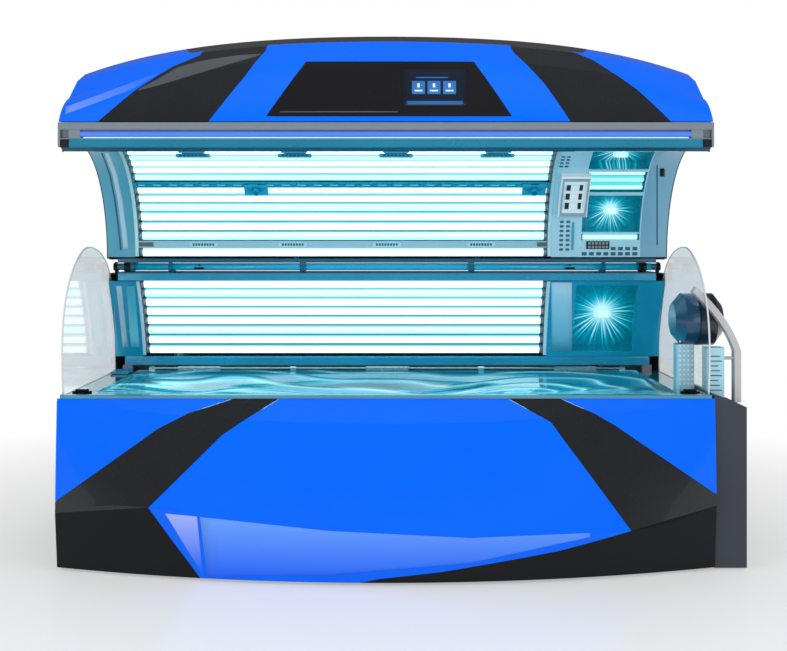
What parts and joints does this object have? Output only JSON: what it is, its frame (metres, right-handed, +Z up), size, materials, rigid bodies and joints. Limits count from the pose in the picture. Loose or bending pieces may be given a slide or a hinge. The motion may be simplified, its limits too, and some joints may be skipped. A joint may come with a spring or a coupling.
{
  "type": "clamshell tanning bed",
  "caption": "Clamshell tanning bed with hinged lamp canopy, contoured acrylic bench, lamp wall, head-end facial lamps, blower and side service box.",
  "frame": {"origin": "on the floor under the middle of the base, at the bottom of the centre foot", "axes": "+X along the bed to the head end, +Y to the rear hinge side, +Z up"},
  "size_m": [2.456, 1.34, 1.9639],
  "materials": {
    "blue_gloss": "gloss",
    "graphite_gloss": "gloss",
    "black_plastic": "satin",
    "grey_plastic": "satin",
    "steel_frame": "satin",
    "sheet_steel": "satin",
    "bright_steel": "brushed",
    "aluminium": "satin",
    "mirror_aluminium": "polished",
    "clear_acrylic": "clear",
    "teal_plastic": "satin",
    "lamp_glass": "frosted",
    "facial_glass": "clear",
    "screen_glass": "gloss",
    "white_plastic": "gloss",
    "rubber": "matte"
  },
  "bodies": {
    "base": {"base_panel_center": "blue_gloss", "base_panel_sides": "blue_gloss", "base_stripes": "graphite_gloss", "kick_panels": "black_plastic", "base_frame": "steel_frame", "leveling_feet": "bright_steel", "floor_pan": "sheet_steel", "base_rear_cover": "grey_plastic", "base_end_covers": "grey_plastic", "bench_front_trim": "clear_acrylic", "bench_hinge_rod": "bright_steel", "end_decks": "clear_acrylic", "bench_lamps": "lamp_glass", "base_lamp_holders": "grey_plastic", "base_reflectors": "mirror_aluminium", "wall_lamps": "lamp_glass", "wall_cheeks": "teal_plastic", "wall_facial_glass": "facial_glass", "wall_facial_lamp": "mirror_aluminium", "wall_rails": "aluminium", "hinge_brackets": "sheet_steel", "lift_cylinders": "sheet_steel", "base_ballasts": "sheet_steel", "cooling_fan_housing": "black_plastic", "side_fins": "clear_acrylic", "service_box": "grey_plastic", "arch_bracket": "grey_plastic", "blower_pod": "graphite_gloss", "head_columns": "teal_plastic"},
    "bench_lid": {"bench_sheet": "clear_acrylic", "bench_hinge_leaves": "bright_steel"},
    "canopy": {"canopy_shell_center": "blue_gloss", "canopy_shell_sides": "blue_gloss", "canopy_stripes": "graphite_gloss", "display_bezel": "graphite_gloss", "display_screen": "screen_glass", "canopy_rear_cover": "grey_plastic", "canopy_end_covers": "grey_plastic", "front_rail": "aluminium", "light_tube": "lamp_glass", "rail_bumpers": "rubber", "canopy_lamps": "lamp_glass", "canopy_lamp_holders": "grey_plastic", "canopy_reflector": "mirror_aluminium", "canopy_sheet": "clear_acrylic", "canopy_cheeks": "teal_plastic", "canopy_air_strips": "teal_plastic", "canopy_head_panel": "white_plastic", "canopy_facial_glass": "facial_glass", "canopy_facial_lamps": "mirror_aluminium", "control_pod": "white_plastic", "canopy_frame": "steel_frame"},
    "lift_rods": {"lift_rods": "bright_steel"},
    "cooling_fan": {"cooling_fan_wheel": "black_plastic"},
    "blower_wheel": {"blower_wheel": "black_plastic"},
    "latch_left": {"bench_latch_left": "black_plastic"},
    "latch_right": {"bench_latch_right": "black_plastic"},
    "lamps_key": {"key_lamps": "black_plastic"},
    "fan_key": {"key_fan": "black_plastic"},
    "start_key": {"key_start": "black_plastic"}
  },
  "joints": [
    {"name": "canopy_hinge", "type": "hinge", "parent": "base", "child": "canopy", "pos_m": [0, 0.13, 1.063], "axis": [1, 0, 0], "range_deg": [0, 45]},
    {"name": "bench_hinge", "type": "hinge", "parent": "base", "child": "bench_lid", "pos_m": [0, 0.246, 0.628], "axis": [1, 0, 0], "range_deg": [-60, 0]},
    {"name": "lift_slide", "type": "slide", "parent": "base", "child": "lift_rods", "axis": [0, 0, 1], "range_m": [0, 0.18308]},
    {"name": "latch_left_turn", "type": "hinge", "parent": "base", "child": "latch_left", "pos_m": [-1.1, -0.49, 0.618], "axis": [0, 0, 1], "range_deg": [0, 90]},
    {"name": "latch_right_turn", "type": "hinge", "parent": "base", "child": "latch_right", "pos_m": [1.1, -0.49, 0.618], "axis": [0, 0, 1], "range_deg": [-90, 0]},
    {"name": "blower_spin", "type": "hinge", "parent": "base", "child": "blower_wheel", "pos_m": [1.2, -0.35, 0.878], "axis": [1, 0, 0], "continuous": true},
    {"name": "cooling_fan_spin", "type": "hinge", "parent": "base", "child": "cooling_fan", "pos_m": [0.42, 0.53, 0.33], "axis": [0, 1, 0], "continuous": true},
    {"name": "lamps_key_press", "type": "slide", "parent": "canopy", "child": "lamps_key", "axis": [0, 0.8572, 0.515], "range_m": [0, 0.0015], "stiffness_N_per_m": 600, "springref_m": -0.001},
    {"name": "fan_key_press", "type": "slide", "parent": "canopy", "child": "fan_key", "axis": [0, 0.7965, 0.6046], "range_m": [0, 0.0015], "stiffness_N_per_m": 600, "springref_m": -0.001},
    {"name": "start_key_press", "type": "slide", "parent": "canopy", "child": "start_key", "axis": [0, 0.7266, 0.6871], "range_m": [0, 0.0015], "stiffness_N_per_m": 600, "springref_m": -0.001}
  ],
  "couplings": [
    {"joint": "lift_slide", "follows": "canopy_hinge", "m_per_rad": 0.23311}
  ]
}
